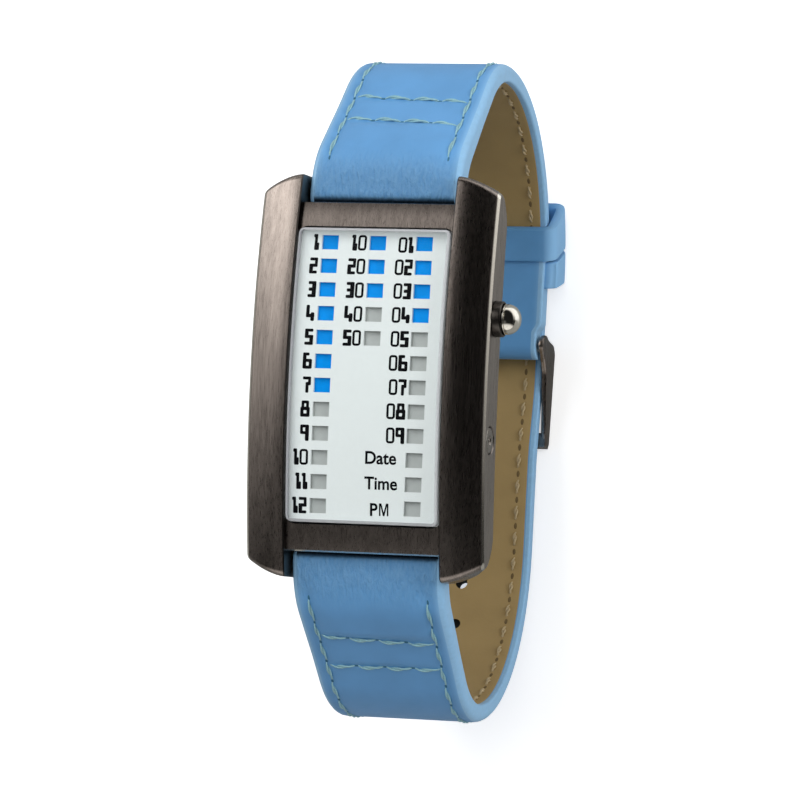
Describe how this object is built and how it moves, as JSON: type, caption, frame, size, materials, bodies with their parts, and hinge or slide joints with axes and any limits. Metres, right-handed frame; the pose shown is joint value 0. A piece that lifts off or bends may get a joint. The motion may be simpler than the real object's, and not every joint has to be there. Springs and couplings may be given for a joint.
{
  "type": "wristwatch",
  "caption": "Rectangular wristwatch with a grid of lit windows in place of hands, curved case, two side buttons and a leather strap closed on its buckle",
  "frame": {"origin": "middle of the outline at the level the closed watch stands on, which is the underside of the buckle and of the fixed keeper", "axes": "+Z out of the dial, +Y towards 12 o'clock, +X towards 3 o'clock, where the pusher is"},
  "size_m": [0.032, 0.0802, 0.0533],
  "materials": {
    "gunmetal": "dark grey coated, brushed lengthwise, polished edges",
    "steel": "polished",
    "blue_leather": "smooth light blue, semi-matt",
    "tan_leather": "matt beige lining",
    "crystal_glass": "clear mineral glass, polished",
    "white_dial": "white printed plate",
    "milky_film": "translucent milky film",
    "black_plastic": "moulded",
    "green_board": "solder mask on laminate",
    "black_rubber": "moulded",
    "contact_gold": "plated strip",
    "led_white": "light chips on flexible film"
  },
  "bodies": {
    "case": {"case": "gunmetal", "crystal": "crystal_glass", "crystal_gasket": "black_rubber", "dial": "white_dial", "diffuser": "milky_film", "light_mask": "black_plastic", "led_strip": "led_white", "led_board": "green_board", "controller_chip": "black_plastic", "quartz_can": "steel", "module_frame": "black_plastic", "battery": "steel", "battery_clip": "contact_gold", "pusher_contact": "contact_gold", "corrector_contact": "contact_gold", "case_back_seal": "black_rubber", "case_back": "gunmetal", "case_back_screw_1": "steel", "case_back_screw_2": "steel", "case_back_screw_3": "steel", "case_back_screw_4": "steel", "pusher_tube": "gunmetal", "pusher_o_ring": "black_rubber", "pusher_spring": "steel", "corrector_spring": "steel", "spring_bar_12": "steel", "bar_spring_12": "steel", "spring_bar_6": "steel", "bar_spring_6": "steel"},
    "strap_12": {"strap_12_leather": "blue_leather", "strap_12_lining": "tan_leather", "keeper_fixed": "blue_leather", "buckle_bar": "steel"},
    "strap_6": {"strap_6_leather": "blue_leather", "strap_6_lining": "tan_leather"},
    "keeper": {"keeper_sliding": "blue_leather"},
    "buckle": {"buckle_frame": "gunmetal"},
    "tongue": {"buckle_tongue": "gunmetal"},
    "pusher": {"pusher_cap": "steel", "pusher_clip": "steel"},
    "corrector": {"corrector_button": "steel", "corrector_clip": "steel"},
    "tip_12_left": {"spring_bar_12_tip_left": "steel"},
    "tip_12_right": {"spring_bar_12_tip_right": "steel"},
    "tip_6_left": {"spring_bar_6_tip_left": "steel"},
    "tip_6_right": {"spring_bar_6_tip_right": "steel"}
  },
  "joints": [
    {"name": "strap_12_swing", "type": "hinge", "parent": "case", "child": "strap_12", "pos_m": [-0.00155, 0.0217, 0.04705], "axis": [1, 0, 0], "range_deg": [0, 75], "deforming": ["strap_6_leather", "strap_6_lining"]},
    {"name": "strap_6_swing", "type": "hinge", "parent": "case", "child": "strap_6", "pos_m": [-0.00155, -0.0217, 0.04705], "axis": [-1, 0, 0], "range_deg": [0, 75], "deforming": ["strap_6_leather", "strap_6_lining"]},
    {"name": "keeper_slide", "type": "hinge", "parent": "strap_12", "child": "keeper", "pos_m": [-0.00155, 0.01647, 0.02695], "axis": [1, 0, 0], "range_deg": [0, 22]},
    {"name": "buckle_swing", "type": "hinge", "parent": "strap_12", "child": "buckle", "pos_m": [-0.00155, 0.00717, 0.00495], "axis": [1, 0, 0], "range_deg": [0, 60], "deforming": ["strap_6_leather", "strap_6_lining"]},
    {"name": "tongue_swing", "type": "hinge", "parent": "buckle", "child": "tongue", "pos_m": [-0.00155, 0.00717, 0.00495], "axis": [1, 0, 0], "range_deg": [0, 50], "deforming": ["strap_6_leather", "strap_6_lining"]},
    {"name": "pusher_press", "type": "slide", "parent": "case", "child": "pusher", "axis": [-1, 0, 0], "range_m": [0, 0.0007], "stiffness_N_per_m": 2500, "springref_m": -0.0005, "deforming": ["pusher_spring"]},
    {"name": "corrector_press", "type": "slide", "parent": "case", "child": "corrector", "axis": [-1, 0, 0], "range_m": [0, 0.0004], "stiffness_N_per_m": 2500, "springref_m": -0.0004, "deforming": ["corrector_spring"]},
    {"name": "tip_12_left_retract", "type": "slide", "parent": "case", "child": "tip_12_left", "axis": [1, 0, 0], "range_m": [0, 0.001], "stiffness_N_per_m": 1500, "springref_m": -0.001, "deforming": ["bar_spring_12"]},
    {"name": "tip_12_right_retract", "type": "slide", "parent": "case", "child": "tip_12_right", "axis": [-1, 0, 0], "range_m": [0, 0.001], "stiffness_N_per_m": 1500, "springref_m": -0.001, "deforming": ["bar_spring_12"]},
    {"name": "tip_6_left_retract", "type": "slide", "parent": "case", "child": "tip_6_left", "axis": [1, 0, 0], "range_m": [0, 0.001], "stiffness_N_per_m": 1500, "springref_m": -0.001, "deforming": ["bar_spring_6"]},
    {"name": "tip_6_right_retract", "type": "slide", "parent": "case", "child": "tip_6_right", "axis": [-1, 0, 0], "range_m": [0, 0.001], "stiffness_N_per_m": 1500, "springref_m": -0.001, "deforming": ["bar_spring_6"]}
  ]
}
